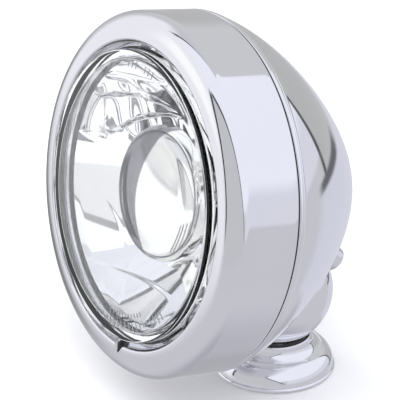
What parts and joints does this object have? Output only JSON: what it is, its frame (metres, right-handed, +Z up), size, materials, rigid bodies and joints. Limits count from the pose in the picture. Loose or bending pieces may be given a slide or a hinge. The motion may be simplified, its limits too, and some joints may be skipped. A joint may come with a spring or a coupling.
{
  "type": "fog light",
  "caption": "Round chrome fog light with a clear lens, faceted reflector, bulb shield and deep bowl housing on a ball-and-cup swivel foot.",
  "frame": {"origin": "centre of the foot's underside, on the mounting bolt's axis", "axes": "+Z up along the mounting bolt; the lamp shines towards -Y, nose-up by 9.8 degrees at rest; +X to the right when facing the lens"},
  "size_m": [0.115, 0.0913, 0.1317],
  "materials": {
    "chrome": "bright chrome plate",
    "black_rubber": "matt moulded rubber",
    "seat_plastic": "satin black nylon",
    "brass": "turned brass",
    "plated_steel": "zinc plate",
    "spring_steel": "bright spring steel",
    "lens_glass": "clear pressed glass",
    "bulb_quartz": "clear quartz",
    "reflector_silver": "vacuum-metallised mirror",
    "shield_chrome": "bright plate",
    "bulb_metal": "satin stamped metal",
    "tungsten": "dull wire",
    "lead_cover": "satin wire insulation",
    "terminal_body": "cream moulded plastic"
  },
  "bodies": {
    "foot": {"foot": "chrome", "foot_pad": "black_rubber", "ball_nut": "brass"},
    "swivel": {"seat_washer": "seat_plastic"},
    "head": {"mount_leg": "chrome", "leg_screws": "plated_steel", "housing": "chrome", "housing_seal": "black_rubber", "trim_ring": "chrome", "top_hook": "spring_steel", "rim_screw": "chrome", "rim_nut": "plated_steel", "lens_gasket": "black_rubber", "lens": "lens_glass", "lens_clips": "spring_steel", "reflector": "reflector_silver", "bulb_shield": "shield_chrome", "shield_bracket": "shield_chrome", "shield_rivets": "plated_steel", "bulb_base": "bulb_metal", "bulb_glass": "bulb_quartz", "bulb_filament": "tungsten", "bulb_lead": "lead_cover", "terminal_block": "terminal_body", "terminal_screws": "brass", "earth_terminal": "brass", "earth_screw": "plated_steel", "clip_hinge": "spring_steel", "clip_screws": "plated_steel", "clip_catch": "spring_steel", "cable_gland": "chrome", "gland_nut": "plated_steel", "cable_grommet": "black_rubber"},
    "clip": {"bulb_clip": "spring_steel"}
  },
  "joints": [
    {"name": "pan", "type": "hinge", "parent": "foot", "child": "swivel", "pos_m": [0, 0, 0.029], "axis": [0, 0, 1], "continuous": true},
    {"name": "tilt", "type": "hinge", "parent": "swivel", "child": "head", "pos_m": [0, 0, 0.029], "axis": [-1, 0, 0], "range_deg": [-15, 5]},
    {"name": "clip_swing", "type": "hinge", "parent": "head", "child": "clip", "pos_m": [0, -0.01892, 0.05429], "axis": [-1, 0, 0], "range_deg": [0, 60]}
  ]
}
